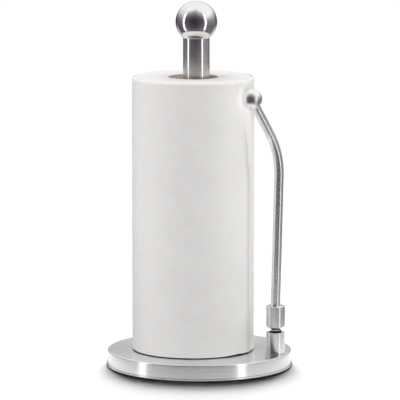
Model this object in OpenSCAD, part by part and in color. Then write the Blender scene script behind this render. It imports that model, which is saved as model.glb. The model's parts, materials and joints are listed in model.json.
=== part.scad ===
// Paper towel holder with a weighted round base, a ball-topped post and a sprung tension arm.
// The origin is on the surface it stands on, at the middle of the base. +Z is up and the arm's
// pivot is towards +X.

/* [Base] */
// Diameter of the base at its foot
base_d = 191.6; // [170:0.1:230]
// Diameter of the base at its top edge
base_top_d = 188.2; // [165:0.1:225]
// Height of the flat top plate above the table
plate_z = 17; // [15:0.5:22]
// Thickness of the pressed steel cover
shell_t = 1.2; // [0.8:0.1:1.6]
// Diameter of the raised crown that the roll stands over
crown_d = 106; // [90:1:122]
// Height of the crown above the plate
crown_h = 1.4; // [1:0.1:3]
// Thickness of the non-slip pad
pad_t = 3; // [2:0.5:4]

/* [Post] */
// Post centre along X, a little behind the middle of the base
post_x = -3.3; // [-10:0.1:0]
// Outer diameter of the post
post_d = 27.1; // [24:0.1:30]
// Wall thickness of the post
post_t = 1.2; // [0.8:0.1:2]
// Diameter of the ball on the post
finial_d = 42.4; // [36:0.1:44]
// Height of that ball's centre
finial_z = 355.3; // [330:0.1:400]

/* [Tension arm] */
// Pivot axis along X
arm_x = 82; // [78:0.1:84]
// Diameter of the two barrels
barrel_d = 19.3; // [16:0.1:20]
// Top of the lower barrel
lower_top = 39; // [38:0.5:40]
// Bottom of the upper barrel, above the spring gap
upper_z = 44; // [44:0.5:45]
// Top of the upper barrel
upper_top = 66.5; // [66:0.5:72]
// Diameter of the arm
rod_d = 9.5; // [8:0.1:10]
// Direction in which the arm leans over, about the pivot
arm_turn = -129; // [-135:0.5:-125]
// Outward lean of the arm's long straight part, in degrees
lean_out = 1.66; // [0.5:0.01:2]
// Height where the upper bend starts
bend_z = 200.1; // [180:0.1:210]
// Centreline radius of the upper bend
bend_r = 80.2; // [60:0.1:100]
// Inward slope of the arm's tip, in degrees
lean_in = 30.6; // [25:0.1:31]
// Length of the straight tip, up to the centre of its ball
tip_len = 43.9; // [35:0.1:44]
// Diameter of the ball on the arm
arm_ball_d = 21.2; // [18:0.1:21.2]

/* [Roll] */
// Diameter of the paper roll
roll_d = 125.8; // [110:0.1:125.8]
// Height of the roll: the standard 11 inch sheet, its turns a little uneven
roll_h = 280; // [270:0.1:280]
// Roll centre along X, where the arm pushes it off the post's centre
roll_x = -6.8; // [-7:0.1:-6.6]
// Gap between the crown and the roll
roll_gap = 0.3; // [0.3:0.1:1]
// Inner diameter of the cardboard core
core_d = 50.4; // [50.4:0.1:52]
// Wall thickness of the core
core_t = 1.5; // [1:0.1:2]

/* [Hidden] */
$fn = 96;

steel = [0.78, 0.78, 0.77];
dull_steel = [0.55, 0.56, 0.57];
iron = [0.22, 0.22, 0.23];
dark_steel = [0.2, 0.19, 0.19];
white_paper = [0.94, 0.93, 0.91];

fit = 0.05;             // radial clearance of a threaded or pressed joint, and of the pivot
hole_play = 0.3;        // radial clearance of a bolt in a plain hole
edge_r = 1.3;           // rounding of the base's top edge
crown_slope = 3;        // width of the sloping ring around the crown
crown_z = plate_z + crown_h;
crown_foot_r = crown_d / 2 + crown_slope;
shell_foot = 1;         // the pad stands this far below the cover's rim
under_plate = plate_z - shell_t;
under_crown = crown_z - shell_t;

weight_r = base_top_d / 2 - 2.7;
weight_web_z = 9;       // underside of the weight's thin middle
weight_rim_r = 70;      // inner radius of its thick rim
weight_boss_r = 22;     // radius of its centre boss

post_seat_z = 12.5;     // ceiling of the post bolt's recess
post_recess_r = 11;
arm_seat_z = 10.5;      // ceiling of the arm bolt's recess
arm_recess_r = 7;
washer_t = 1.6;
lock_t = 2;             // free thickness of a split washer

// Thread radii, and hexagon heads as [height, size across flats].
m8_r = 4;
m6_r = 3;
m5_r = 2.5;
m8_head = [5.3, 13];
m6_head = [3.4, 10];

post_bore_r = post_d / 2 - post_t;
ball_foot_z = finial_z - sqrt(pow(finial_d / 2, 2) - pow(post_d / 2, 2));
ball_wall = 1.6;
ball_boss_r = 8;
ball_boss_h = 14;
plug_len = 20;
plug_floor = 4;         // solid top of the plug in the post's foot
stud_down = 14;         // how far the stud reaches into the post
stud_up = 11;           // how far it reaches into the ball

spring_pocket_z = 33;   // floor of the pocket in the lower barrel
spring_pocket_r = 7.2;
spring_wire = 1.6;
spring_mean_r = 5.5;
spring_low = spring_pocket_z + 1;
spring_high = lower_top + 1.7;
spring_turn_0 = 180;    // where the coil starts, about the pivot
spring_turn_1 = spring_turn_0 + 3.75 * 360;
spring_leg = 5.4;       // length of the straight leg at each end
leg_hole_r = 1.05;
sleeve_r = 4.2;
arm_thread = 8.5;       // length of the arm bolt's thread in the lower barrel
pivot_thread_z = plate_z + 11;          // tip of the pivot bolt
sleeve_top = lower_top + 2;
thrust_t = 0.5;
neck_z = sleeve_top + thrust_t + 0.1;   // lowest face of the upper barrel
neck_r = 4.5;
taper_r = 7;            // the neck widens to this under the upper barrel
foot_bevel = 1.2;       // bevel around the upper barrel's foot
top_bevel = 0.9;        // bevel around its top
rim_bevel = 0.5;        // bevel around the lower barrel's rim

socket_z = 53.5;        // floor of the arm's socket in the upper barrel
bolt_head_t = 2.4;
bolt_head_r = 4.3;
bolt_head_z = socket_z + 0.1;           // underside of the pivot bolt's head
rod_foot_z = bolt_head_z + bolt_head_t + 0.6;
rod_fillet_r = 80;      // radius of the slight bend just above the upper barrel
rod_fillet_z = upper_top + 0.5;
screw_z = 61.5;         // height of the set screw
screw_turn = 51;        // its direction about the pivot
screw_r = 2;
screw_len = 4.2;
bend_tuck = 0.5;        // how far the arm's straight lengths reach into its bends
tip_short = 3;          // the arm ends this far before its ball's centre

// Centreline of the arm in its own plane: s runs inward from the pivot, z runs up.
fillet_c = [-rod_fillet_r, rod_fillet_z];
fillet_end = [rod_fillet_r * (cos(lean_out) - 1), rod_fillet_z + rod_fillet_r * sin(lean_out)];
long_len = (bend_z - fillet_end[1]) / cos(lean_out);
bend_start = fillet_end + long_len * [-sin(lean_out), cos(lean_out)];
bend_c = bend_start + bend_r * [cos(lean_out), sin(lean_out)];
bend_end = bend_c + bend_r * [-cos(lean_in), sin(lean_in)];
tip = bend_end + tip_len * [sin(lean_in), cos(lean_in)];

roll_z = crown_z + roll_gap;
core_r = core_d / 2;
core_out_r = core_r + core_t;
paper_edge_r = 2.5;

// A disc or ring between two heights.
module ring(r, z0, z1, hole = 0) {
    translate([0, 0, z0]) difference() {
        cylinder(r = r, h = z1 - z0);
        if (hole > 0) translate([0, 0, -1]) cylinder(r = hole, h = z1 - z0 + 2);
    }
}

// A turned solid whose outline is a list of [radius, z] points.
module turned(outline) {
    rotate_extrude() polygon(outline);
}

// A split spring washer: a ring with a narrow slanted cut.
module lock_washer(r, z0, hole) {
    difference() {
        ring(r, z0, z0 + lock_t, hole);
        translate([0, -0.6, z0 - 1]) rotate([0, 0, 20]) cube([r + 2, 1.2, lock_t + 2]);
    }
}

// A hexagon whose size across flats is given, as a bolt's head or as its socket.
module hexagon(flats, z0, height) {
    translate([0, 0, z0]) cylinder(r = flats / sqrt(3), h = height, $fn = 6);
}

// A hexagon-head bolt pointing up, its head's top face at seat_z.
module hex_bolt(r, head, seat_z, tip_z) {
    hexagon(head[1], seat_z - head[0], head[0]);
    ring(r, seat_z - 1, tip_z - 1);
    translate([0, 0, tip_z - 1]) cylinder(r1 = r, r2 = r - 0.8, h = 1);
}

// Outline of the base cover, drawn in by `t` from its outer face and starting at height z0.
module cover_outline(t, z0) {
    foot_r = base_d / 2 - t;
    top_r = base_top_d / 2 - t;
    top_z = plate_z - t;
    union() {
        polygon([
            [0, z0], [foot_r, z0], [top_r, top_z - edge_r],
            [top_r - edge_r, top_z - edge_r], [top_r - edge_r, top_z], [0, top_z],
        ]);
        translate([top_r - edge_r, top_z - edge_r]) circle(r = edge_r);
    }
}

// The raised crown, around the post: a low cone on a short disc that sinks into the plate.
module crown_form(foot_r, z0) {
    translate([post_x, 0, 0]) turned([
        [0, z0 - 0.5], [foot_r, z0 - 0.5], [foot_r, z0],
        [foot_r - crown_slope, z0 + crown_h], [0, z0 + crown_h],
    ]);
}

module base_shell() {
    color(steel) difference() {
        union() {
            rotate_extrude($fn = 180) cover_outline(0, shell_foot);
            crown_form(crown_foot_r, plate_z);
        }
        rotate_extrude($fn = 180) cover_outline(shell_t, shell_foot - 1);
        crown_form(crown_foot_r - shell_t, under_plate);
        translate([post_x, 0, 0]) ring(m8_r + hole_play, 0, crown_z + 1);
        translate([arm_x, 0, 0]) ring(m6_r + hole_play, 0, crown_z + 1);
    }
}

module base_weight() {
    color(iron) difference() {
        union() {
            ring(weight_r, pad_t, under_plate, weight_rim_r);
            ring(weight_rim_r + 1, weight_web_z, under_plate);
            translate([post_x, 0, 0]) ring(weight_boss_r, pad_t, under_crown);
        }
        translate([post_x, 0, 0]) {
            ring(post_recess_r, pad_t - 1, post_seat_z);
            ring(m8_r + hole_play, pad_t, crown_z);
        }
        translate([arm_x, 0, 0]) {
            ring(arm_recess_r, pad_t - 1, arm_seat_z);
            ring(m6_r + hole_play, pad_t, crown_z);
        }
    }
}

module base_pad() {
    color([0.12, 0.12, 0.12]) ring(base_d / 2 - shell_t - 1, 0, pad_t);
}

module post_bolt() {
    color(dull_steel) translate([post_x, 0, 0])
        hex_bolt(m8_r, m8_head, post_seat_z - washer_t - lock_t, crown_z + 14);
}

module post_lock_washer() {
    color(dull_steel) translate([post_x, 0, 0])
        lock_washer(7.2, post_seat_z - washer_t - lock_t, m8_r + fit);
}

module post_washer() {
    color(dull_steel) translate([post_x, 0, 0])
        ring(10, post_seat_z - washer_t, post_seat_z, m8_r + fit);
}

module post_plug() {
    color(dull_steel) translate([post_x, 0, 0]) difference() {
        ring(post_bore_r - fit, crown_z, crown_z + plug_len);
        ring(m8_r + fit, crown_z - 1, crown_z + plug_len - plug_floor);
    }
}

module post_tube() {
    color(steel) translate([post_x, 0, 0])
        ring(post_d / 2, crown_z, ball_foot_z, post_bore_r);
}

module post_cap_plug() {
    color(dull_steel) translate([post_x, 0, 0])
        ring(post_bore_r - fit, ball_foot_z - plug_len, ball_foot_z, m8_r + fit);
}

module finial_stud() {
    color(dull_steel) translate([post_x, 0, 0])
        ring(m8_r, ball_foot_z - stud_down, ball_foot_z + stud_up);
}

// A hollow ball, cut flat where it sits on the post, with a threaded boss inside.
module finial_ball() {
    color(steel) translate([post_x, 0, 0]) difference() {
        translate([0, 0, finial_z]) sphere(d = finial_d);
        ring(finial_d, finial_z - finial_d, ball_foot_z);
        difference() {
            translate([0, 0, finial_z]) sphere(r = finial_d / 2 - ball_wall);
            ring(finial_d, finial_z - finial_d, ball_foot_z + 2);
            ring(ball_boss_r, ball_foot_z, ball_foot_z + ball_boss_h);
        }
        ring(m8_r + fit, ball_foot_z - 1, ball_foot_z + stud_up + 1);
    }
}

module arm_bolt() {
    color(dull_steel) translate([arm_x, 0, 0])
        hex_bolt(m6_r, m6_head, arm_seat_z - washer_t - lock_t, plate_z + arm_thread);
}

module arm_lock_washer() {
    color(dull_steel) translate([arm_x, 0, 0])
        lock_washer(5.4, arm_seat_z - washer_t - lock_t, m6_r + fit);
}

module arm_washer() {
    color(dull_steel) translate([arm_x, 0, 0])
        ring(6, arm_seat_z - washer_t, arm_seat_z, m6_r + fit);
}

// A hole for one leg of the spring, about the pivot.
module leg_hole(turn, z0, z1) {
    rotate([0, 0, turn]) translate([spring_mean_r, 0, 0]) ring(leg_hole_r, z0, z1);
}

// The fixed barrel: threaded from below, with a pocket for the spring in its top.
module lower_barrel() {
    r = barrel_d / 2;
    color(steel) translate([arm_x, 0, 0]) difference() {
        turned([
            [0, plate_z], [r, plate_z], [r, lower_top - rim_bevel],
            [r - rim_bevel, lower_top], [0, lower_top],
        ]);
        ring(spring_pocket_r, spring_pocket_z, lower_top + 1);
        ring(m6_r + fit, plate_z - 1, plate_z + arm_thread + 1);
        ring(m5_r + fit, pivot_thread_z - 0.5, spring_pocket_z + 1);
        leg_hole(spring_turn_0, spring_low - spring_leg - 0.5, spring_low);
    }
}

// A shoulder bolt: thread in the lower barrel, shoulder in the upper one.
module pivot_bolt() {
    color(dull_steel) translate([arm_x, 0, 0]) difference() {
        union() {
            ring(m5_r, pivot_thread_z, spring_pocket_z);
            ring(m6_r, spring_pocket_z, bolt_head_z + 1);
            ring(bolt_head_r, bolt_head_z, bolt_head_z + bolt_head_t);
        }
        hexagon(3, bolt_head_z + 0.9, bolt_head_t);
    }
}

module spring_sleeve() {
    color(dull_steel) translate([arm_x, 0, 0])
        ring(sleeve_r, spring_pocket_z, sleeve_top, m6_r + fit);
}

module thrust_washer() {
    color([0.85, 0.84, 0.8]) translate([arm_x, 0, 0])
        ring(sleeve_r + 0.2, sleeve_top, sleeve_top + thrust_t, m6_r + fit);
}

// Centreline of the torsion spring: a leg down, the coil, and a leg up.
function spring_path() = let (
    steps = 90,
    coil = [for (i = [0 : steps])
        let (a = spring_turn_0 + (spring_turn_1 - spring_turn_0) * i / steps)
        [
            spring_mean_r * cos(a), spring_mean_r * sin(a),
            spring_low + (spring_high - spring_low) * i / steps,
        ]]
) concat([coil[0] - [0, 0, spring_leg]], coil, [coil[steps] + [0, 0, spring_leg]]);

// Sweeps a round wire along points that wind about the Z axis: each ring stands in a radial plane.
module wire(points, r, sides = 8) {
    n = len(points);
    rings = [for (i = [0 : n - 1])
        let (
            p = points[i],
            out = [p[0], p[1], 0] / norm([p[0], p[1]]),
            ahead = points[min(i + 1, n - 1)] - points[max(i - 1, 0)],
            side = cross(ahead / norm(ahead), out)
        )
        for (k = [0 : sides - 1])
            p + r * (cos(360 * k / sides) * out + sin(360 * k / sides) * side)];
    walls = [for (i = [0 : n - 2], k = [0 : sides - 1])
        let (j = (k + 1) % sides)
        [i * sides + k, i * sides + j, (i + 1) * sides + j, (i + 1) * sides + k]];
    first = [for (k = [0 : sides - 1]) sides - 1 - k];
    final = [for (k = [0 : sides - 1]) (n - 1) * sides + k];
    polyhedron(points = rings, faces = concat(walls, [first, final]), convexity = 8);
}

module torsion_spring() {
    color(dark_steel) translate([arm_x, 0, 0]) wire(spring_path(), spring_wire / 2);
}

// The turning barrel: a tapered neck below, the pivot's bore, and the arm's socket above.
module upper_barrel() {
    r = barrel_d / 2;
    color(steel) translate([arm_x, 0, 0]) difference() {
        turned([
            [0, neck_z], [neck_r, neck_z], [taper_r, upper_z], [r - foot_bevel, upper_z],
            [r, upper_z + foot_bevel], [r, upper_top - top_bevel], [r - top_bevel, upper_top],
            [0, upper_top],
        ]);
        ring(m6_r + fit, neck_z - 1, socket_z + 1);
        ring(rod_d / 2 + fit, socket_z, upper_top + 1);
        leg_hole(spring_turn_1, neck_z - 1, spring_high + spring_leg + 0.5);
        translate([0, 0, screw_z]) rotate([0, 90, screw_turn]) ring(screw_r + fit, 0, barrel_d);
    }
}

module rod_screw() {
    color(dark_steel) translate([arm_x, 0, screw_z]) rotate([0, 90, screw_turn])
        difference() {
            ring(screw_r, rod_d / 2, rod_d / 2 + screw_len);
            hexagon(2, rod_d / 2 + screw_len - 1.8, screw_len);
        }
}

// Turns the arm's plane, [s, z], to its place about the pivot.
module in_arm_plane() {
    translate([arm_x, 0, 0]) rotate([0, 0, arm_turn]) children();
}

// A straight length of the arm from [s, z], leaning inward by `lean` degrees. It starts and
// ends a little inside the bends and is a hair thinner, so that their surfaces never coincide.
module straight(from, lean, length, r, tuck = 0, extra = 0) {
    translate([from[0], 0, from[1]]) rotate([0, lean, 0]) translate([0, 0, -tuck])
        cylinder(r = r, h = length + tuck + extra);
}

// A bend of the arm about the centre [s, z], from one angle to another above the s axis.
module bend(centre, radius, a0, a1, r) {
    translate([centre[0], 0, centre[1]]) rotate([90, 0, 0]) rotate([0, 0, a0])
        rotate_extrude(angle = a1 - a0) translate([radius, 0]) circle(r = r);
}

module arm_rod() {
    r = rod_d / 2;
    thin = r - 0.02;
    color(steel) in_arm_plane() {
        straight([0, rod_foot_z], 0, rod_fillet_z - rod_foot_z, thin, 0, bend_tuck);
        bend(fillet_c, rod_fillet_r, 0, lean_out, r);
        straight(fillet_end, -lean_out, long_len, thin, bend_tuck, bend_tuck);
        bend(bend_c, bend_r, 180 - lean_in, 180 + lean_out, r);
        straight(bend_end, lean_in, tip_len - tip_short, thin, bend_tuck);
    }
}

module arm_ball() {
    color(steel) in_arm_plane() difference() {
        translate([tip[0], 0, tip[1]]) sphere(d = arm_ball_d);
        straight(bend_end, lean_in, tip_len - tip_short + 0.1, rod_d / 2 + fit);
    }
}

module cardboard_core() {
    color([0.72, 0.62, 0.55]) translate([roll_x, 0, 0])
        ring(core_out_r, roll_z, roll_z + roll_h, core_r);
}

module paper_roll() {
    r = roll_d / 2;
    top = roll_z + roll_h;
    color(white_paper) translate([roll_x, 0, 0]) rotate_extrude($fn = 180) union() {
        translate([core_out_r + fit, roll_z])
            square([r - paper_edge_r - core_out_r - fit, roll_h]);
        translate([r - paper_edge_r - 1, roll_z + paper_edge_r])
            square([paper_edge_r + 1, roll_h - 2 * paper_edge_r]);
        for (z = [roll_z + paper_edge_r, top - paper_edge_r])
            translate([r - paper_edge_r, z]) circle(r = paper_edge_r);
    }
}

base_shell();
base_weight();
base_pad();
post_bolt();
post_lock_washer();
post_washer();
post_plug();
post_tube();
post_cap_plug();
finial_stud();
finial_ball();
arm_bolt();
arm_lock_washer();
arm_washer();
lower_barrel();
pivot_bolt();
spring_sleeve();
thrust_washer();
torsion_spring();
upper_barrel();
rod_screw();
arm_rod();
arm_ball();
cardboard_core();
paper_roll();
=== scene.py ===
import math

import bmesh
import bpy
import numpy as np
from mathutils import Matrix, Vector
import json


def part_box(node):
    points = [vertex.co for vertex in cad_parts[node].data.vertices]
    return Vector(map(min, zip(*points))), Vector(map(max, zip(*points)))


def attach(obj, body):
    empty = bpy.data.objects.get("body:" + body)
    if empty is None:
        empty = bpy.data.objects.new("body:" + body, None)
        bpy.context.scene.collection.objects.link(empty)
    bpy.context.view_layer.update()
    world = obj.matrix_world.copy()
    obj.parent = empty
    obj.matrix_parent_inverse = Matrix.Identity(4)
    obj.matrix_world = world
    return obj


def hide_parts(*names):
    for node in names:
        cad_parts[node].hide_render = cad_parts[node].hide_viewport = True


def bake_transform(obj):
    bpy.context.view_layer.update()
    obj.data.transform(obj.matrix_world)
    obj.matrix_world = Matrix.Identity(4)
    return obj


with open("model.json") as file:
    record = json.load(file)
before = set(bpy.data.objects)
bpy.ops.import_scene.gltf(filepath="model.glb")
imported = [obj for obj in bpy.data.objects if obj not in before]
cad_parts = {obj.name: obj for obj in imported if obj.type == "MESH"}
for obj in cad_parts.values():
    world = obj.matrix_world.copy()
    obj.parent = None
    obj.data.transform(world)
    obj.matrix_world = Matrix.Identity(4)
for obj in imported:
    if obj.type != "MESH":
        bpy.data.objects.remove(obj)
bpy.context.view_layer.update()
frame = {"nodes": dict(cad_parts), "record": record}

MM = 0.001
VIEW_TURN = math.radians(18.4)      # the camera stands this far round the object, from -Y towards +X


def centre(node):
    """The middle of a CAD node's box."""
    low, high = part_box(node)
    return (low + high) / 2


def span(node):
    """The heights in mm between which a CAD node lies."""
    return [corner.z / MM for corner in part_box(node)]


def full_turn(count):
    """Angles evenly round a circle."""
    return np.linspace(0, 2 * math.pi, count, endpoint=False)


# ---------------------------------------------------------------- places, all in metres

TABLE_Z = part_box("base_pad")[0].z
PLATE_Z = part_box("lower_barrel")[0].z
BASE_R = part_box("base_shell")[1].x
CROWN_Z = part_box("base_shell")[1].z
POST = centre("post_tube")
POST_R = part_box("post_tube")[1].x - POST.x
PIVOT = centre("lower_barrel")
BARREL_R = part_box("lower_barrel")[1].x - PIVOT.x
ROLL = centre("paper_roll")
ROLL_LOW, ROLL_HIGH = (corner.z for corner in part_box("paper_roll"))
ROLL_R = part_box("paper_roll")[1].x - ROLL.x
CORE_OUT_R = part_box("cardboard_core")[1].x - ROLL.x


# ---------------------------------------------------------------- the paper, in mm and radians

SHEET_MM = 0.2                      # thickness of the paper's last turn
PAPER_R = ROLL_R / MM - SHEET_MM    # the roll under its loose end
LOWER_EDGE, UPPER_EDGE = 0.9, 2.4   # rounding of the roll's edges
SAG_MM = 1.0                        # the outer turns hang down this far beside the crown
EMBOSS_MM = 0.42                    # depth of the pressed pattern
CELLS_ROUND, CELLS_HIGH = 10, 7     # the pattern's diamonds round the roll and up it
RINGS = 4                           # pressed lines within each other in a diamond
PAINTED_SHADE = 0.12                # how far the paper goes to its painted shade colour where paper_shade() marks it
END_TURN = math.radians(-8.5)       # where the loose end lies, about the roll
UNEVEN_MM = 0.12                    # how far the roll's outside and underside are out of true
END_BEDDED = 225, 262               # heights between which the loose end comes down on the roll
# The ball draws the loose end in towards the top: from one height, to another, by an angle.
END_DRAWN_IN = (196, 222, math.radians(3.2)), (222, 275, math.radians(5))


# ---------------------------------------------------------------- mesh building

def piece(name, points, faces, matrix=None):
    """A smooth-shaded object from points and faces, its outside facing out and its creases sharp."""
    mesh = bpy.data.meshes.new(name)
    mesh.from_pydata(np.asarray(points, float).tolist(), [], [list(map(int, f)) for f in faces])
    work = bmesh.new()
    work.from_mesh(mesh)
    bmesh.ops.remove_doubles(work, verts=work.verts, dist=1e-7)
    bmesh.ops.dissolve_degenerate(work, edges=work.edges, dist=1e-8)
    bmesh.ops.recalc_face_normals(work, faces=work.faces)
    work.to_mesh(mesh)
    work.free()
    if matrix is not None:
        mesh.transform(matrix)
    finish_shading(mesh)
    made = bpy.data.objects.new(name, mesh)
    bpy.context.scene.collection.objects.link(made)
    return made


CREASE = math.radians(38)           # edges sharper than this stay sharp in shading


def finish_shading(mesh):
    """Smooth shading, but for the creases."""
    mesh.polygons.foreach_set("use_smooth", [True] * len(mesh.polygons))
    mesh.set_sharp_from_angle(angle=CREASE)
    mesh.update()


def grid_faces(rows, columns, close_rows=False):
    """Quads that join a grid of points, given row by row. Each row is a closed ring."""
    r = np.arange(rows if close_rows else rows - 1)[:, None]
    c = np.arange(columns)[None, :]
    low, high, after = r * columns, (r + 1) % rows * columns, (c + 1) % columns
    return np.stack([low + c, low + after, high + after, high + c], -1).reshape(-1, 4)


def rounded(corners, closed=True, step=11):
    """An outline of (radius, height) points in metres from corners (radius, height, rounding) in mm."""
    corners = [(np.array(c[:2], float), c[2] if len(c) > 2 else 0) for c in corners]
    count, outline = len(corners), []
    for i, (corner, radius) in enumerate(corners):
        if radius == 0 or (not closed and i in (0, count - 1)):
            outline.append(corner)
            continue
        back = corners[i - 1][0] - corner
        ahead = corners[(i + 1) % count][0] - corner
        back_len, ahead_len = np.linalg.norm(back), np.linalg.norm(ahead)
        back, ahead = back / back_len, ahead / ahead_len
        inside = math.acos(np.clip(back @ ahead, -1, 1))
        reach = radius / math.tan(inside / 2)
        middle = corner + (back + ahead) / np.linalg.norm(back + ahead) * radius / math.sin(inside / 2)
        first, last = corner + back * reach - middle, corner + ahead * reach - middle
        turn = math.pi - inside
        steps = max(2, math.ceil(math.degrees(turn) / step))
        # Support points keep the flat faces beside an arc flat in shading.
        beside = [min(0.3 * radius + 0.05, 0.45 * (length - reach)) for length in (back_len, ahead_len)]
        outline.append(corner + back * (reach + beside[0]))
        for k in range(steps + 1):
            share = k / steps
            outline.append(middle + (first * math.sin((1 - share) * turn)
                                     + last * math.sin(share * turn)) / math.sin(turn))
        outline.append(corner + ahead * (reach + beside[1]))
    return np.array(outline) * MM


def lathe(name, outline, axis=(0, 0), segments=192, closed=True, matrix=None):
    """Turns an outline of (radius, height) points about the vertical line at `axis`."""
    turn = full_turn(segments)
    points = np.zeros((len(outline), segments, 3))
    points[:, :, 0] = axis[0] + outline[:, :1] * np.cos(turn)
    points[:, :, 1] = axis[1] + outline[:, :1] * np.sin(turn)
    points[:, :, 2] = outline[:, 1:2]
    return piece(name, points.reshape(-1, 3), grid_faces(len(outline), segments, closed), matrix)


def arc(middle, radius, start, end, steps):
    """Points (radius, height) in mm along an arc, from one angle to another in degrees."""
    turn = np.radians(np.linspace(start, end, steps + 1))
    return np.stack([middle[0] + radius * np.cos(turn), middle[1] + radius * np.sin(turn)], 1)


def capped(rings, sides):
    """Faces of a tube of `rings` rings of `sides` points, with a flat cap on each end."""
    last = (rings - 1) * sides
    return [*grid_faces(rings, sides), list(range(sides))[::-1], [last + k for k in range(sides)]]


def dress(made, body, slot, material, *nodes):
    """Puts a piece on its CAD body, with its material, in place of CAD nodes. Its `slot` is not used."""
    made.data.materials.clear()
    made.data.materials.append(material)
    if body:
        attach(made, body)
    if nodes:
        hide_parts(*nodes)
    return made


# ---------------------------------------------------------------- node helpers

class Nodes:
    """Short calls that add nodes to a tree."""

    def __init__(self, tree):
        self.tree = tree

    def feed(self, socket, value):
        """Links a socket to another, or gives it a plain value."""
        if isinstance(value, bpy.types.NodeSocket):
            self.tree.links.new(value, socket)
        elif value is not None:
            socket.default_value = value

    def add(self, kind, *inputs, out=0, named=None, **settings):
        """Adds a node, feeds its inputs in order and by name, and returns one of its outputs."""
        node = self.tree.nodes.new(kind)
        for key, value in settings.items():
            setattr(node, key, value)
        for socket, value in zip(node.inputs, inputs):
            self.feed(socket, value)
        for key, value in (named or {}).items():
            self.feed(node.inputs[key], value)
        return node.outputs[out]

    def math(self, operation, a, b=None, c=None):
        return self.add("ShaderNodeMath", a, b, c, operation=operation)

    def vector(self, operation, a, b=None):
        return self.add("ShaderNodeVectorMath", a, b, operation=operation)

    def remap(self, value, low, high, to_low=0.0, to_high=1.0, kind="SMOOTHSTEP"):
        """A value that goes from `to_low` to `to_high` while another goes from `low` to `high`."""
        return self.add("ShaderNodeMapRange", value, low, high, to_low, to_high, interpolation_type=kind)

    def blend(self, share, first, second):
        """A mix of two colours, all of the second where `share` is 1."""
        node = self.tree.nodes.new("ShaderNodeMix")
        node.data_type = "RGBA"
        for index, value in ((0, share), (6, first), (7, second)):
            self.feed(node.inputs[index], value)
        return node.outputs[2]

    def by_height(self, height, *stops):
        """A value that follows (degrees, value) stops."""
        node = self.tree.nodes.new("ShaderNodeValToRGB")
        self.feed(node.inputs[0], self.math("MULTIPLY_ADD", height, 1 / 180, 0.5))
        ramp = node.color_ramp.elements
        while len(ramp) < len(stops):
            ramp.new(0.5)
        for element, (degrees, value) in zip(ramp, stops):
            element.position = degrees / 180 + 0.5
            element.color = (value, value, value, 1)
        return node.outputs[0]

    def split(self, vector):
        node = self.tree.nodes.new("ShaderNodeSeparateXYZ")
        self.feed(node.inputs[0], vector)
        return node.outputs

    def noise(self, vector, scale, detail=3.0, roughness=0.5):
        return self.add("ShaderNodeTexNoise", named={
            "Vector": vector, "Scale": scale, "Detail": detail, "Roughness": roughness})


def colour(r, g, b):
    """An opaque colour."""
    return (r, g, b, 1.0)


class Surface(Nodes):
    """A material of one Principled shader. `fixed` sets its sockets to plain values."""

    def __init__(self, name, fixed):
        self.material = bpy.data.materials.new(name)
        self.material.use_nodes = True
        super().__init__(self.material.node_tree)
        self.shader = self.tree.nodes["Principled BSDF"]
        for key, value in fixed.items():
            self.shader.inputs[key].default_value = value
        self.place = self.add("ShaderNodeTexCoord", out=3)

    def set(self, key, value):
        self.feed(self.shader.inputs[key], value)

    def bump(self, height, depth_mm):
        self.set("Normal", self.add("ShaderNodeBump", named={
            "Strength": 1.0, "Distance": depth_mm * MM, "Height": height}))

    def turned_place(self, axis, across, along):
        """Coordinates for lines that run round a vertical axis, `across` lines to the metre."""
        local = self.vector("SUBTRACT", self.place, (axis[0], axis[1], 0.0))
        flat = self.vector("MULTIPLY", local, (1.0, 1.0, 0.0))
        distance = self.add("ShaderNodeVectorMath", flat, operation="LENGTH", out=1)
        height = self.split(local)[2]
        around = self.split(self.vector("NORMALIZE", flat))
        return self.add("ShaderNodeCombineXYZ",
                        self.math("MULTIPLY", around[0], along),
                        self.math("MULTIPLY", around[1], along),
                        self.math("MULTIPLY", self.math("ADD", distance, height), across))


# ---------------------------------------------------------------- materials

BRUSH_LINES = 2200.0                # brushed lines to the metre


def turned_steel(name, axis, tone, roughness, stretch, depth):
    """Stainless steel brushed round a vertical axis, its lines `depth` mm deep."""
    s = Surface(name, {"Metallic": 1.0, "Anisotropic": stretch, "Anisotropic Rotation": 0.25})
    fine = s.noise(s.turned_place(axis, BRUSH_LINES, 5.0), 1.0, 4.0, 0.6)
    broad = s.noise(s.turned_place(axis, BRUSH_LINES / 6, 2.0), 1.0, 2.0)
    haze = s.noise(s.place, 28.0, 3.0)
    dark, light = [0.9 * t for t in tone], [min(1.0, 1.06 * t) for t in tone]
    s.set("Base Color", s.blend(s.math("ADD", s.math("MULTIPLY", fine, 0.5), s.math("MULTIPLY", broad, 0.5)),
                                colour(*dark), colour(*light)))
    s.set("Roughness", s.math("ADD", s.remap(fine, 0.3, 0.7, roughness * 0.85, roughness * 1.15, "LINEAR"),
                              s.math("MULTIPLY", s.math("SUBTRACT", haze, 0.5), 0.06)))
    s.bump(fine, depth)
    s.set("Tangent", s.add("ShaderNodeTangent", direction_type="RADIAL", axis="Z"))
    return s.material


def zinc_steel():
    """Zinc-plated fasteners: a dull crystalline film."""
    s = Surface("zinc_steel", {"Metallic": 1.0})
    flakes = s.add("ShaderNodeTexVoronoi", named={"Vector": s.place, "Scale": 900.0}, out=1)
    cloud = s.noise(s.place, 220.0, 4.0)
    grain = s.split(flakes)[0]
    s.set("Base Color", s.blend(cloud, colour(0.42, 0.44, 0.47), colour(0.62, 0.63, 0.62)))
    s.set("Roughness", s.remap(grain, 0, 1, 0.32, 0.48, "LINEAR"))
    s.bump(cloud, 0.02)
    return s.material


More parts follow.
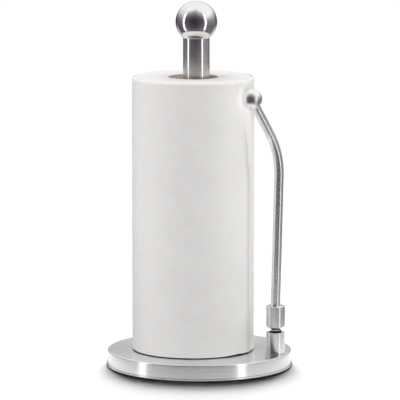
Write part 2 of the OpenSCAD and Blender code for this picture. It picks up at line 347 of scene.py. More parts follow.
def spring_steel():
    """Blackened spring wire, oiled, worn lighter in places."""
    s = Surface("spring_steel", {"Metallic": 1.0})
    wear = s.remap(s.noise(s.place, 700.0, 4.0, 0.6), 0.5, 0.72)
    s.set("Base Color", s.blend(wear, colour(0.045, 0.043, 0.042), colour(0.3, 0.29, 0.28)))
    s.set("Roughness", s.remap(wear, 0, 1, 0.34, 0.24, "LINEAR"))
    s.bump(s.noise(s.place, 2500.0, 2.0), 0.008)
    return s.material


def cast_iron():
    """Rough sand-cast iron."""
    s = Surface("cast_iron", {"Metallic": 0.85})
    sand = s.noise(s.place, 900.0, 5.0, 0.65)
    rust = s.remap(s.noise(s.place, 55.0, 4.0), 0.52, 0.75)
    s.set("Base Color", s.blend(rust, colour(0.09, 0.09, 0.095), colour(0.16, 0.085, 0.05)))
    s.set("Roughness", s.remap(sand, 0.3, 0.7, 0.55, 0.8, "LINEAR"))
    s.bump(sand, 0.25)
    return s.material


def rubber():
    """Black rubber with a fine matt grain and a little dust."""
    s = Surface("rubber", {"IOR": 1.5})
    grain = s.noise(s.place, 1600.0, 3.0)
    dust = s.remap(s.noise(s.place, 90.0, 5.0, 0.6), 0.5, 0.8, 0, 0.6)
    s.set("Base Color", s.blend(dust, colour(0.018, 0.018, 0.019), colour(0.07, 0.068, 0.064)))
    s.set("Roughness", s.remap(grain, 0.3, 0.7, 0.62, 0.82, "LINEAR"))
    s.bump(grain, 0.05)
    return s.material


def nylon():
    """Off-white nylon."""
    s = Surface("nylon", {"IOR": 1.53, "Subsurface Weight": 0.15, "Subsurface Radius": (0.8, 0.7, 0.6),
                          "Subsurface Scale": 0.001})
    cloud = s.noise(s.place, 400.0, 3.0)
    s.set("Base Color", s.blend(cloud, colour(0.66, 0.64, 0.57), colour(0.74, 0.72, 0.66)))
    s.set("Roughness", s.remap(cloud, 0.3, 0.7, 0.38, 0.5, "LINEAR"))
    s.bump(s.noise(s.place, 2200.0, 2.0), 0.01)
    return s.material


def pressed_line_shade(s, turn, height):
    """Painted shade in the pattern's pressed lines, in step with emboss() in the mesh, broken up in patches
    by noise.
    """
    around = s.math("MULTIPLY", turn, CELLS_ROUND / (2 * math.pi))
    up = s.math("MULTIPLY", s.math("SUBTRACT", height, ROLL_LOW), CELLS_HIGH / (ROLL_HIGH - ROLL_LOW))
    parts = [s.math("ABSOLUTE", s.math("SUBTRACT", s.math("FRACT", s.math("ADD", part, CELLS_ROUND)), 0.5))
             for part in (around, up)]
    across = s.math("PINGPONG", s.math("MULTIPLY", s.math("ADD", *parts), 2.0), 1.0)
    wave = s.math("COSINE", s.math("MULTIPLY", across, 2 * math.pi * RINGS))
    # Noise that breaks the painted shade in the pressed lines up into patches.
    patchy = s.remap(s.noise(s.place, 45.0, 4.0, 0.65), 0.38, 0.62)
    return s.math("MULTIPLY", s.remap(wave, -1.0, 1.0, 1.0, 0.0), patchy)


def end_shade(s, turn, height):
    """The soft painted shade along the loose end's edge, standing in for the shade where the sheet turns away
    from the light.
    """
    drawn_in = [s.remap(height, low * MM, high * MM, 0.0, by) for low, high, by in END_DRAWN_IN]
    off_edge = s.math("SUBTRACT", s.math("ADD", turn, s.math("ADD", *drawn_in)), END_TURN)
    share = s.math("DIVIDE", off_edge, math.radians(3.0))
    band = s.math("EXPONENT", s.math("MULTIPLY", s.math("MULTIPLY", share, share), -1.0))
    low, high = END_BEDDED
    return s.math("MULTIPLY", band, s.remap(height, low * MM, high * MM, 4.0, 0.6))


def paper_shade(s):
    """How much painted shade the roll's outside gets: in its pressed lines, along its loose end's edge and at
    its top edge.
    """
    x, y, height = s.split(s.vector("SUBTRACT", s.place, (ROLL.x, ROLL.y, 0.0)))
    turn = s.math("ARCTAN2", y, x)
    distance = s.add("ShaderNodeVectorMath", s.add("ShaderNodeCombineXYZ", x, y, 0.0),
                     operation="LENGTH", out=1)
    outside = s.remap(distance, (PAPER_R - 3) * MM, (PAPER_R - 1.5) * MM)
    shade = s.math("MAXIMUM", pressed_line_shade(s, turn, height), end_shade(s, turn, height))
    # Painted shade on the rounded top edge of the outer turns.
    top = s.remap(height, ROLL_HIGH - UPPER_EDGE * MM, ROLL_HIGH - 0.8 * MM, 0.0, 1.5)
    top_edge = s.math("MULTIPLY", top, s.remap(distance, (PAPER_R - 3.4) * MM, (PAPER_R - 1.6) * MM))
    return s.math("MAXIMUM", s.math("MULTIPLY", shade, outside), top_edge)


def tissue():
    """Kitchen paper: soft matt fibres, rows of tiny pressed dots, and painted shade in its pressed lines,
    along its loose end's edge and at its top edge.
    """
    s = Surface("tissue", {"Roughness": 0.95, "Sheen Weight": 0.12, "Sheen Roughness": 0.6, "IOR": 1.3})
    fibres = s.noise(s.place, 900.0, 5.0, 0.7)
    soft = s.noise(s.place, 35.0, 3.0)
    dots = s.add("ShaderNodeTexVoronoi", named={"Vector": s.place, "Scale": 620.0, "Randomness": 0.35})
    paper = s.blend(s.math("MULTIPLY_ADD", fibres, 0.5, s.math("MULTIPLY", soft, 0.5)),
                    colour(0.755, 0.735, 0.72), colour(0.82, 0.805, 0.79))
    # The painted shade: the paper goes towards this grey where paper_shade() is high.
    s.set("Base Color", s.blend(s.math("MULTIPLY", paper_shade(s), PAINTED_SHADE), paper,
                                colour(0.45, 0.43, 0.42)))
    s.set("Roughness", s.remap(fibres, 0.3, 0.7, 0.88, 1.0, "LINEAR"))
    s.bump(s.math("ADD", s.remap(dots, 0.0, 0.55), s.math("MULTIPLY", fibres, 0.8)), 0.07)
    return s.material


def core_board():
    """Grey-brown board, wound from strips, with fibres along them."""
    s = Surface("core_board", {"Roughness": 0.9})
    fibres = s.noise(s.vector("MULTIPLY", s.place, (1.0, 1.0, 3.0)), 500.0, 5.0, 0.65)
    blotch = s.noise(s.place, 70.0, 3.0)
    s.set("Base Color", s.blend(s.math("MULTIPLY_ADD", fibres, 0.6, s.math("MULTIPLY", blotch, 0.4)),
                                colour(0.56, 0.43, 0.37), colour(0.78, 0.66, 0.59)))
    s.set("Roughness", s.remap(fibres, 0.3, 0.7, 0.82, 0.97, "LINEAR"))
    s.bump(fibres, 0.08)
    return s.material


def floor_paint():
    """White studio floor."""
    s = Surface("floor_paint", {"Roughness": 1.0, "Specular IOR Level": 0.0})
    cloud = s.noise(s.place, 6.0, 2.0)
    s.set("Base Color", s.blend(cloud, colour(0.93, 0.93, 0.93), colour(0.95, 0.95, 0.95)))
    return s.material


def card_white():
    """A white card that glows, less towards its edge, with a painted shadow: dark under the base and for a
    short way beyond its foot.
    """
    s = Surface("card_white", {"Roughness": 1.0, "Specular IOR Level": 0.0, "Base Color": colour(0, 0, 0),
                               "Emission Strength": 1.0})
    away = s.add("ShaderNodeVectorMath", s.place, operation="LENGTH", out=1)
    glow = s.blend(s.remap(away, 0.20, 0.36), colour(1.12, 1.12, 1.12), colour(0.10, 0.08, 0.09))
    # Painted shadow: the glow drops to near black under the base and just past its foot, as the floor's
    # shadow would show in the metal.
    clear_of_painted_shadow = s.remap(away, BASE_R + 0.003, BASE_R + 0.018)
    s.set("Emission Color", s.blend(clear_of_painted_shadow, colour(0.03, 0.03, 0.03), glow))
    return s.material


# ---------------------------------------------------------------- base

def base_cover(material):
    """The pressed cover: a crown about the post on a flat plate with a rolled rim."""
    sheet, hole, crown_r, skirt_r, join_r = 1.2, 4.3, 53, 56, 59
    top, plate, outer = CROWN_Z / MM, PLATE_Z / MM, BASE_R / MM
    below, plate_below = top - sheet, plate - sheet
    crown = rounded([(hole, top), (crown_r, top, 1.2), (skirt_r, plate, 0.8), (join_r, plate)], closed=False)
    rim = rounded([(90, plate), (outer - 1.55, plate, 1.3), (outer - 0.3, 3.3, 0.4), (outer - 0.8, 2.6, 0.3),
                   (outer, 1.95, 0.3), (outer, 1, 0.3), (outer - sheet, 1, 0.3),
                   (outer - 2.9, plate_below, 0.8), (88, plate_below)], closed=False)
    under = rounded([(join_r, plate_below), (skirt_r - sheet, plate_below, 0.5),
                     (crown_r - sheet, below, 0.6), (hole, below)], closed=False)
    # The crown is centred on the post and the rim on the base.
    rows = [(middle, r, z) for middle, part in ((POST.x, crown), (0, rim), (POST.x, under)) for r, z in part]
    segments = 320
    turn = full_turn(segments)
    points = np.array([[(middle + r * c, r * s, z) for c, s in zip(np.cos(turn), np.sin(turn))]
                       for middle, r, z in rows])
    made = piece("base_cover", points.reshape(-1, 3), grid_faces(len(rows), segments, True))
    return dress(made, "base", "brushed_steel", material, "base_shell")


def base_foot(material):
    """The non-slip pad, with moulded rings on its underside."""
    groove, edge, top = 0.4, 93.6, 3
    outline = [(0, groove)]
    for r in np.arange(12, 90, 6.0):
        outline += [(r, groove, 0.2), (r + 1, 0, 0.2), (r + 3, 0, 0.2), (r + 4, groove, 0.2)]
    outline += [(edge - 0.6, groove, 0.15), (edge, 0.9, 0.3), (edge, top, 0.3), (0, top)]
    made = lathe("base_foot", rounded(outline, closed=False, step=20), closed=False)
    return dress(made, "base", "rubber", material, "base_pad")


# ---------------------------------------------------------------- post

def post(material):
    """The centre post, a tube."""
    low, high = span("post_tube")
    r, wall = POST_R / MM, 1.2
    outline = rounded([(r - wall, low), (r, low, 0.2), (r, high, 0.35), (r - wall, high, 0.2)])
    made = lathe("post_sleeve", outline, (POST.x, POST.y))
    return dress(made, "base", "brushed_steel", material, "post_tube")


def finial(material):
    """The ball on the post, with a flat foot and a blind bore for its stud."""
    low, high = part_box("finial_ball")
    radius, middle, foot = (high.x - low.x) / 2 / MM, centre("finial_ball").x, low.z / MM
    bore, bore_top, bevel, bevel_high = 4.05, foot + 11, 0.3, 0.35
    centre_z = high.z / MM - radius
    start = math.degrees(math.asin((foot + bevel_high - centre_z) / radius))
    ball = arc((0, centre_z), radius, start, 90, 72)
    ball[-1, 0] = 0
    neck = ball[0, 0] - bevel
    outline = np.concatenate([[(bore, foot), (neck - bevel, foot), (neck, foot)], ball,
                              [(0, bore_top), (bore, bore_top)]]) * MM
    made = lathe("finial", outline, (middle, POST.y))
    return dress(made, "base", "polished_steel", material, "finial_ball")


# ---------------------------------------------------------------- arm

BOLT_BORE = 3.05                    # radius of the pivot bolt's hole in both barrels, in mm


def lower_barrel(material):
    """The barrel that stands on the base, with a pocket for the spring."""
    r, foot, lip, pocket, pocket_z = BARREL_R / MM, 0.35, 0.6, 7.2, 33
    low, high = span("lower_barrel")
    outline = rounded([(BOLT_BORE, low), (r - foot, low, 0.1), (r, low + foot, 0.15), (r, high - lip, 0.25),
                       (r - lip, high, 0.25), (pocket, high, 0.2), (pocket, pocket_z, 0.3),
                       (BOLT_BORE, pocket_z)])
    made = lathe("arm_post_barrel", outline, (PIVOT.x, PIVOT.y), 160)
    return dress(made, "base", "polished_steel", material, "lower_barrel")


def upper_barrel(material):
    """The barrel that turns with the arm, on a narrower foot, with a socket for the rod."""
    r, foot, face_r, face_z, slope, lip, socket, socket_z = BARREL_R / MM, 4.5, 7, 44, 1.2, 0.9, 4.8, 53.5
    low, high = span("upper_barrel")
    outline = rounded([(BOLT_BORE, low), (foot, low, 0.15), (face_r, face_z, 0.25), (r - slope, face_z, 0.3),
                       (r, face_z + slope, 0.4), (r, high - lip, 0.35), (r - lip, high, 0.3),
                       (socket, high, 0.15), (socket, socket_z), (BOLT_BORE, socket_z)])
    made = lathe("arm_swivel_barrel", outline, (PIVOT.x, PIVOT.y), 160)
    cut_screw_hole(made)
    return dress(made, "arm", "polished_steel", material, "upper_barrel")


def cut_screw_hole(barrel):
    """The set screw's threaded hole, in line with the screw."""
    way = centre("rod_screw") - PIVOT
    way.z = 0
    way.normalize()
    inner_end, length, hole, mouth, face = 4.5, 8, 2.05, 2.45, 4.9
    start = Vector((PIVOT.x, PIVOT.y, centre("rod_screw").z)) + way * inner_end * MM
    turn = way.to_track_quat("Z", "Y").to_matrix().to_4x4()
    outline = rounded([(0, 0), (hole, 0), (hole, face), (mouth, face + 0.45), (mouth, length), (0, length)],
                      closed=False)
    tool = lathe("screw_hole_tool", outline, (0, 0), 48, False, Matrix.Translation(start) @ turn)
    cut = barrel.modifiers.new("screw_hole", "BOOLEAN")
    cut.operation, cut.solver, cut.object = "DIFFERENCE", "EXACT", tool
    made = bpy.data.meshes.new_from_object(barrel.evaluated_get(bpy.context.evaluated_depsgraph_get()))
    barrel.modifiers.clear()
    barrel.data = made
    bpy.data.objects.remove(tool)
    finish_shading(barrel.data)


ARM_TURN = math.radians(-129)       # the arm's own plane, about the pivot
LEAN_OUT, LEAN_IN = math.radians(1.66), math.radians(30.6)     # below its bend and above it
ROD_R = 4.75                        # in mm


def arm_line():
    """The rod's centreline as (s, z) points in mm in the arm's plane, and its direction at each."""
    foot, fillet_z, fillet_r = span("arm_rod")[0], 67.0, 80.0
    bend_z, bend_r, tip = 200.1, 80.2, 40.9
    points, lean = [(0, foot), (0, 0.5 * (foot + fillet_z))], [0, 0]
    for a in np.linspace(0, LEAN_OUT, 6):
        points.append((fillet_r * (math.cos(a) - 1), fillet_z + fillet_r * math.sin(a)))
        lean.append(-a)
    s, z = points[-1]
    for share in np.linspace(0, 1, 12)[1:]:
        up = share * (bend_z - z)
        points.append((s - up * math.tan(LEAN_OUT), z + up))
        lean.append(-LEAN_OUT)
    s, z = points[-1]
    middle = (s + bend_r * math.cos(LEAN_OUT), z + bend_r * math.sin(LEAN_OUT))
    for a in np.linspace(-LEAN_OUT, LEAN_IN, 48)[1:]:
        points.append((middle[0] - bend_r * math.cos(a), middle[1] + bend_r * math.sin(a)))
        lean.append(a)
    s, z = points[-1]
    for along in np.linspace(0, tip, 8)[1:]:
        points.append((s + along * math.sin(LEAN_IN), z + along * math.cos(LEAN_IN)))
        lean.append(LEAN_IN)
    return np.array(points), np.array(lean)


def arm_rod(material):
    """The bent rod, swept along its centreline."""
    line, lean = arm_line()
    sides = 64
    turn = full_turn(sides)
    across, side = ROD_R * np.cos(turn), ROD_R * np.sin(turn)
    s = line[:, :1] + across * np.cos(lean)[:, None]
    z = line[:, 1:] - across * np.sin(lean)[:, None]
    points = np.stack([s, np.broadcast_to(side, s.shape), z], -1).reshape(-1, 3) * MM
    turn_in = Matrix.Translation((PIVOT.x, PIVOT.y, 0)) @ Matrix.Rotation(ARM_TURN, 4, "Z")
    made = piece("arm_rod_polished", points, capped(len(line), sides), turn_in)
    return dress(made, "arm", "polished_steel", material, "arm_rod")


def arm_ball(material):
    """The ball on the arm's tip, bored for the rod."""
    low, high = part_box("arm_ball")
    radius = (high.x - low.x) / 2 / MM
    flat, mouth, bore, bore_end = 5.1, ROD_R + 0.1, ROD_R + 0.02, -3.2
    start = -math.degrees(math.acos(flat / radius))
    ball = arc((0, 0), radius, start, 90, 60)
    ball[-1, 0] = 0
    outline = np.concatenate([[(bore, bore_end), (bore, ball[0, 1] + 0.15), (mouth, ball[0, 1])], ball,
                              [(0, bore_end)]]) * MM
    tilt = Matrix.Rotation(ARM_TURN, 4, "Z") @ Matrix.Rotation(LEAN_IN, 4, "Y")
    made = lathe("arm_ball_polished", outline, (0, 0), 160, True,
                 Matrix.Translation((low + high) / 2) @ tilt)
    return dress(made, "arm", "polished_steel", material, "arm_ball")


def torsion_spring(material):
    """The wound spring, a coil between its two legs; the real one twists as the arm turns, but this mesh is
    fixed and on no body.
    """
    low, high = span("torsion_spring")
    wire, mean, leg, turns, step = 0.8, 5.5, 5.4, 3.75, 0.5
    coil_low, coil_high = low + leg, high - leg
    turn = np.radians(np.linspace(180, 180 + turns * 360, 241))
    rise = np.linspace(coil_low, coil_high, len(turn))
    coil = np.stack([mean * np.cos(turn), mean * np.sin(turn), rise], 1)
    first = [coil[0] - (0, 0, d) for d in np.linspace(leg, step, 6)]
    last = [coil[-1] + (0, 0, d) for d in np.linspace(step, leg, 6)]
    line = np.concatenate([first, coil, last])
    ahead = np.gradient(line, axis=0)
    ahead /= np.linalg.norm(ahead, axis=1, keepdims=True)
    out = line * (1, 1, 0)
    out /= np.linalg.norm(out, axis=1, keepdims=True)
    side = np.cross(ahead, out)
    sides = 20
    around = full_turn(sides)[None, :, None]
    points = line[:, None] + wire * (np.cos(around) * out[:, None] + np.sin(around) * side[:, None])
    points = points.reshape(-1, 3) * MM + (PIVOT.x, PIVOT.y, 0)
    made = piece("torsion_coil", points, capped(len(line), sides))
    dress(made, None, "spring_steel", material, "torsion_spring")
    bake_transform(made)
    return made


# ---------------------------------------------------------------- roll

def smooth(low, high, value):
    """0 below `low`, 1 above `high`, with a soft step between."""
    t = np.clip((value - low) / (high - low), 0, 1)
    return t * t * (3 - 2 * t)


def ripple(turn, height, seed, waves=7):
    """A slow random waviness, the same each time, about -1 to 1."""
    pick = np.random.default_rng(seed)
    total = 0
    for _ in range(waves):
        total = total + np.sin(pick.integers(1, 6) * turn + pick.uniform(-0.05, 0.05) * height
                               + pick.uniform(0, 2 * math.pi))
    return total / waves * 1.6


def emboss(turn, height):
    """How deep the pattern is pressed, 0 to 1: diamonds within diamonds."""
    u = turn / (2 * math.pi) * CELLS_ROUND
    v = (height / MM - ROLL_LOW / MM) / ((ROLL_HIGH - ROLL_LOW) / MM) * CELLS_HIGH
    across = 2 * (np.abs(u - np.floor(u) - 0.5) + np.abs(v - np.floor(v) - 0.5))
    across = np.where(across > 1, 2 - across, across)
    depth = 0.5 - 0.5 * np.cos(2 * math.pi * RINGS * across)
    return depth * (0.75 + 0.25 * ripple(turn, height / MM, 5))


def end_turn(height):
    """Where the loose end's edge lies at each height in mm: the ball draws it in at the top."""
    return END_TURN - sum(by * smooth(low, high, height) for low, high, by in END_DRAWN_IN)


def sag(turn):
    """How far the outer turns hang down, in mm: less beside the loose end."""
    off_end = np.sin((turn + 0.42) / 2) / 0.1
    return SAG_MM * (1 - 0.6 * np.exp(-off_end ** 2)) + UNEVEN_MM * ripple(turn, 0, 21)


def round_roll(r, turn, z):
    """Points in metres about the roll's axis, from radii and heights in mm."""
    x, y = ROLL.x + r * MM * np.cos(turn), ROLL.y + r * MM * np.sin(turn)
    return np.stack([x, y, z * MM + 0 * r], -1).reshape(-1, 3)


def rings(outline, turn):
    """The radii and heights of an outline's points, each repeated at every angle."""
    return (np.array(outline)[:, k:k + 1] + 0 * turn for k in (0, 1))


def end_rings(outline, turn, sign, pick):
    """Rings from an end's outline, with a low ridge for each turn of paper that shows there."""
    r, z = rings(outline, turn)
    ridge = pick.uniform(-1, 0, (len(r), 1)) * 0.22
    wave = np.stack([0.1 * ripple(turn[0], 0, 40 + k, 4) for k in range(len(r))])
    fade = np.clip((PAPER_R - r) / UPPER_EDGE, 0, 1)
    return r - 0.12 * EMBOSS_MM * (1 - fade), z + sign * np.minimum(0, ridge + wave - 0.08) * fade


def paper_outlines(low, high):
    """The roll's lower end, its upper end, and the lip of its inmost turns, which reach in over the core."""
    edge, bore, lip = UPPER_EDGE, CORE_OUT_R / MM + 0.06, 25.1
    bottom = [(bore, low)] + [(r, low) for r in np.linspace(bore + 2, PAPER_R - 13, 6)]
    bottom += [(PAPER_R - d, low) for d in (9, 5, 3.2, 2.3, 1.6, LOWER_EDGE)]
    bottom += [(PAPER_R - 0.45, low + 0.12), (PAPER_R - 0.12, low + 0.45)]
    angles = np.radians(np.linspace(90, 0, 7)[1:-1])
    top = [(PAPER_R - edge + edge * math.sin(a), high - edge + edge * math.cos(a)) for a in angles[::-1]]
    top += [(r, high) for r in np.linspace(PAPER_R - edge, 26, 38)]
    return bottom, top, [(lip + 0.2, high - 0.2), (lip, high - 0.5), (lip, high - 1.1), (bore, high - 1.2)]


def paper_body(material):
    """The wound paper: a patterned outside, soft edges, and ends that show its turns."""
    columns, rows = 336, 205
    proud = 0.4                     # the upper end stands this far above the CAD's flat one
    low, high = ROLL_LOW / MM, ROLL_HIGH / MM + proud
    turn, pick = full_turn(columns)[None, :], np.random.default_rng(11)
    bottom, top, lip = paper_outlines(low, high)

    heights = np.linspace(low + LOWER_EDGE, high - UPPER_EDGE, rows)[:, None]
    side_r = PAPER_R - EMBOSS_MM * emboss(turn, heights * MM) + UNEVEN_MM * ripple(turn, heights, 3)
    side_r = np.minimum(side_r, PAPER_R)
    side_z = heights - sag(turn) * (1 - smooth(low, low + 25, heights))
    bottom_r, bottom_z = end_rings(bottom, turn, -1, pick)
    bottom_z = bottom_z - sag(turn) * smooth(PAPER_R - 3.2, PAPER_R - 2.3, bottom_r)
    top_r, top_z = end_rings(top, turn, 1, pick)
    lip_r, lip_z = rings(lip, turn)

    r = np.concatenate([bottom_r, side_r, top_r, lip_r])
    z = np.concatenate([bottom_z, side_z, top_z, lip_z])
    made = piece("paper_windings", round_roll(r, turn, z), grid_faces(len(r), columns, True))
    return dress(made, "roll", "tissue", material, "paper_roll")


def paper_end(material):
    """The loose end of the last sheet, which lifts a little along its cut edge."""
    reach, lift, edge = math.radians(11), 1.5, 1.6
    columns, rows = 26, 200
    low, high = ROLL_LOW / MM, ROLL_HIGH / MM
    heights = np.linspace(low - 0.3 * SAG_MM, high - edge, rows)[:, None]
    share = np.linspace(0, 1, columns)[None, :]
    turn = end_turn(heights) - reach * (1 - share)
    raised = lift * share ** 4 * (1 - 0.85 * smooth(*END_BEDDED, heights)) * (1 + 0.25 * np.sin(heights / 23))
    bedded = smooth(0, 0.12, share)
    pressed = EMBOSS_MM * emboss(turn, heights * MM)
    outer = PAPER_R - pressed + SHEET_MM * bedded + raised - 0.1 * (1 - bedded)
    inner = outer - SHEET_MM
    layers = np.concatenate([outer, inner[:, ::-1]], 1)
    angles = np.concatenate([turn, turn[:, ::-1]], 1)
    made = piece("paper_loose_end", round_roll(layers, angles, heights), capped(rows, 2 * columns))
    return dress(made, "roll", "tissue", material)


def core(material):
    """The board tube, wound from strips whose seams run round it in a spiral."""
    low, high = span("cardboard_core")
    high -= 1.3                     # it ends a little below the paper
    wall, bevel, lead, seam_width, seam_depth = 1.5, 0.25, 96.0, 1.6, 0.22
    out_r, in_r, columns, rows = CORE_OUT_R / MM, CORE_OUT_R / MM - wall, 144, 150
    turn = full_turn(columns)[None, :]
    heights = np.linspace(low + 0.3, high - 0.3, rows)[:, None]

    def seam(offset):
        along = (heights / lead - turn / (2 * math.pi) + offset) % 1 * lead
        return np.exp(-((along - lead / 2) / seam_width) ** 2) * seam_depth

    foot_r, foot_z = rings([(in_r + bevel, low), (out_r - bevel, low)], turn)
    head_r, head_z = rings([(out_r - bevel, high), (in_r + bevel, high)], turn)
    r = np.concatenate([foot_r, out_r - seam(0.4), head_r, in_r + seam(0.0)[::-1]])
    z = np.concatenate([foot_z, heights + 0 * turn, head_z, heights[::-1] + 0 * turn])
    made = piece("core_tube", round_roll(r, turn, z), grid_faces(len(r), columns, True))
    return dress(made, "roll_core", "core_board", material, "cardboard_core")


# ---------------------------------------------------------------- studio

CANOPY = 1.02                       # as bright as the front and the sides get


def dim_front(n, off_front, height):
    """The camera's side: dim at its height and white overhead."""
    glow = n.by_height(height, (-90, 0.40), (-50, 0.17), (-30, 0.066), (0, 0.042), (15, 0.045), (30, 0.085),
                       (50, 0.21), (65, 0.46), (80, 0.9), (90, 1.0))
    return n.math("MINIMUM", n.math("MULTIPLY", glow, n.remap(off_front, 5.0, 60.0, 1.0, 2.4)), CANOPY)


def grey_sides(n, side, height):
    """The sides, grey below and white above, and the back, dark at the height of the object."""
    flank = n.by_height(height, (-90, 0.30), (-40, 0.15), (-20, 0.12), (-2, 0.17), (8, 0.27), (18, 0.50),
                        (28, 0.90), (38, 1.0), (60, 1.3))
    flank = n.math("MINIMUM", n.math("MULTIPLY", flank, n.remap(side, -60.0, 60.0, 0.85, 1.25)), CANOPY)
    behind = n.by_height(height, (-90, 0.7), (-18, 0.65), (-11, 0.12), (-4, 0.05), (3, 0.10), (10, 0.45),
                         (18, 0.9), (26, 1.0))
    return n.blend(n.remap(n.math("ABSOLUTE", side), 122.0, 146.0), flank, behind)


def strip_lights(n, side, height):
    """Where two upright strips glow, 0 to 1, each with its middle and half width in degrees."""
    strips, soft = [], 1.5
    for middle, half in ((-75.2, 5.0), (54.0, 4.6)):
        off = n.math("ABSOLUTE", n.math("SUBTRACT", side, middle))
        strips.append(n.remap(off, half - soft, half + soft, 1.0, 0.0))
    upper_end, lower_end = n.remap(height, 26.0, 44.0, 1.0, 0.0), n.remap(height, -50.0, -40.0)
    return n.math("MULTIPLY", n.math("MULTIPLY", n.math("MAXIMUM", *strips), upper_end), lower_end)


def studio_world():
    """What the metal mirrors: a white canopy, grey sides, a dim front and two strips of light."""
    world = bpy.data.worlds.new("studio")
    bpy.context.scene.world = world
    world.use_nodes = True
    world.cycles_visibility.diffuse = False
    n = Nodes(world.node_tree)
    toward = n.add("ShaderNodeTexCoord")
    toward = n.add("ShaderNodeVectorRotate", named={"Vector": toward, "Angle": -VIEW_TURN},
                   rotation_type="Z_AXIS")
    x, y, z = n.split(toward)
    to_degrees = 180 / math.pi
    side = n.math("MULTIPLY", n.math("ARCTAN2", x, n.math("MULTIPLY", y, -1.0)), to_degrees)
    height = n.math("MULTIPLY", n.math("ARCSINE", z), to_degrees)

    off_front = n.math("ABSOLUTE", n.math("ADD", side, 12.0))
    front, sides = dim_front(n, off_front, height), grey_sides(n, side, height)
    light = n.blend(n.remap(off_front, 53.0, 62.0), front, sides)
    purple = n.blend(n.remap(light, 0.04, 0.3), colour(1.02, 0.86, 1.12), colour(1.0, 1.0, 1.0))
    light = n.vector("MULTIPLY", light, purple)
    light = n.blend(strip_lights(n, side, height), light, colour(2.2, 2.2, 2.2))

    # Metal doesn't throw these surroundings on to matt things, and the camera sees plain white.
    ray = n.tree.nodes.new("ShaderNodeLightPath").outputs
    bounced = n.math("GREATER_THAN", ray["Diffuse Depth"], 0.5)
    light = n.blend(bounced, light, colour(0.0, 0.0, 0.0))
    light = n.blend(ray["Is Camera Ray"], light, colour(1.03, 1.03, 1.03))
    n.feed(n.tree.nodes["Background"].inputs["Color"], light)


def softbox(name, side, height, distance, size, strength, aim=0.12):
    """A soft light, `side` degrees round from the camera, that metal doesn't mirror."""
    data = bpy.data.lights.new(name, "AREA")
    data.shape, data.size, data.size_y = "RECTANGLE", *size
    data.energy = strength * size[0] * size[1]
    made = bpy.data.objects.new(name, data)
    bpy.context.scene.collection.objects.link(made)
    turn, rise = math.radians(side) + VIEW_TURN, math.radians(height)
    way = Vector((math.sin(turn) * math.cos(rise), -math.cos(turn) * math.cos(rise), math.sin(rise)))
    made.location = Vector((0, 0, aim)) + way * distance
    made.rotation_euler = way.to_track_quat("Z", "Y").to_euler()
    made.visible_glossy = made.visible_camera = False
    return made


def group(name, *members, exclude=False):
    """A collection for a light's linking: only its members, or all but them."""
    made = bpy.data.collections.new(name)
    for member in members:
        made.objects.link(member)
    if exclude:
        for entry in made.collection_objects:
            entry.light_linking.link_state = "EXCLUDE"
    return made


def studio_lights(ground, base, arm, inner):
    """Soft lights round the holder, one for the core, and two behind that throw the base's shadow forward."""
    all_but_floor = group("all_but_floor", ground, exclude=True)
    all_but_arm = group("all_but_arm", *arm, exclude=True)
    for light in (softbox("key", 180, 86, 2.0, (1.4, 1.4), 21),
                  softbox("fill_front", 0, 3, 3.0, (2.4, 0.7), 40),
                  softbox("fill_left", -95, 3, 2.0, (2.2, 1.3), 11.9),
                  softbox("fill_right", 95, 3, 2.0, (2.2, 1.3), 12.9),
                  softbox("fill_back", 180, 3, 3.0, (2.4, 0.7), 20)):
        light.light_linking.receiver_collection = all_but_floor
        if light.name == "fill_right":
            light.light_linking.blocker_collection = all_but_arm
    core_light = softbox("core_light", 0, 80, 2.0, (1.4, 1.4), 100)
    core_light.light_linking.receiver_collection = group("core_only", inner)
    floor_only, base_only = group("floor_only", ground), group("base_only", *base)
    for light in (softbox("floor_low", 180, 13.5, 30.0, (21.8, 11.2), 133, aim=0),
                  softbox("floor_high", 180, 33, 30.0, (21.8, 9.5), 32, aim=0)):
        light.light_linking.receiver_collection = floor_only
        light.light_linking.blocker_collection = base_only


def disc(name, radius, level, material):
    """A flat round stage piece."""
    segments = 128
    turn = full_turn(segments)
    radii = [radius * share for share in (0.05, 0.4, 0.7, 1)]
    points = np.array([[(r * c, r * s, level) for c, s in zip(np.cos(turn), np.sin(turn))] for r in radii])
    made = piece(name, points.reshape(-1, 3), [*grid_faces(len(radii), segments), list(range(segments))])
    made.data.materials.append(material)
    return made


def floor():
    """The floor that the camera sees, and the white card that the metal mirrors in its place."""
    paint = disc("studio_floor", 0.6, TABLE_Z, floor_paint())
    paint.visible_glossy = paint.visible_diffuse = False
    card = disc("studio_card", 0.42, TABLE_Z, card_white())
    card.visible_camera = card.visible_diffuse = card.visible_shadow = False
    return paint


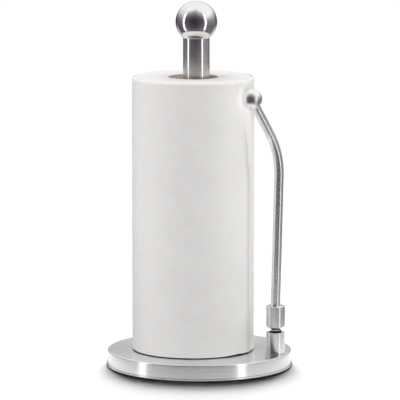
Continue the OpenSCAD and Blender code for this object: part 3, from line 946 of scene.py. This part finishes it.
def camera():
    """The camera, 3.8 m off, looking down on the holder by 8.5 degrees."""
    data = bpy.data.cameras.new("camera")
    data.lens, data.sensor_width, data.shift_x = 337.2, 36.0, 0.0015
    made = bpy.data.objects.new("camera", data)
    bpy.context.scene.collection.objects.link(made)
    distance, height, pitch = 3.801, 0.7397, math.radians(8.499)
    made.location = (distance * math.sin(VIEW_TURN), -distance * math.cos(VIEW_TURN), height)
    made.rotation_euler = (math.pi / 2 - pitch, 0, VIEW_TURN)
    bpy.context.scene.camera = made


# ---------------------------------------------------------------- the whole holder

def carried_over(materials):
    """Gives the CAD nodes that stay their materials, by the record's slots."""
    for entry in frame["record"]["subparts"]:
        node, slot = frame["nodes"][entry["node"]], entry["material_slot"]
        if not node.hide_render:
            node.data.materials.clear()
            node.data.materials.append(materials[slot])


def build():
    """Makes every piece, and returns those that lights are linked to: base, arm and core."""
    steel, pale = (0.87, 0.865, 0.85), (0.95, 0.95, 0.94)
    zinc, spring = zinc_steel(), spring_steel()
    paper, board = tissue(), core_board()
    cover = turned_steel("brushed_cover", (0, 0), (0.86, 0.872, 0.872), 0.24, 0.75, depth=0.004)
    tube = turned_steel("brushed_post", (POST.x, 0), steel, 0.22, 1.0, depth=0.0004)
    ball = turned_steel("spun_ball", (POST.x, 0), steel, 0.14, 0.5, depth=0.0006)
    barrel = turned_steel("turned_barrel", (PIVOT.x, 0), steel, 0.22, 0.95, depth=0.003)
    bright = turned_steel("polished_rod", (PIVOT.x, 0), pale, 0.25, 1.0, depth=0.0004)
    tip = centre("arm_ball")
    satin = turned_steel("satin_ball", (tip.x, tip.y), pale, 0.36, 0.0, depth=0.0006)
    pad, iron, plastic = rubber(), cast_iron(), nylon()
    base = base_cover(cover), base_foot(pad)
    post(tube)
    finial(ball)
    arm = lower_barrel(barrel), upper_barrel(barrel), arm_rod(bright), arm_ball(satin)
    torsion_spring(spring)
    paper_body(paper)
    paper_end(paper)
    inner = core(board)
    carried_over({"brushed_steel": cover, "polished_steel": bright, "zinc_steel": zinc,
                  "spring_steel": spring, "cast_iron": iron, "rubber": pad, "nylon": plastic,
                  "core_board": board, "tissue": paper})
    return base, arm, inner


def write_sizes():
    import json


bpy.context.scene.view_settings.view_transform = "Standard"
studio_world()
camera()
studio_lights(floor(), *build())
write_sizes()
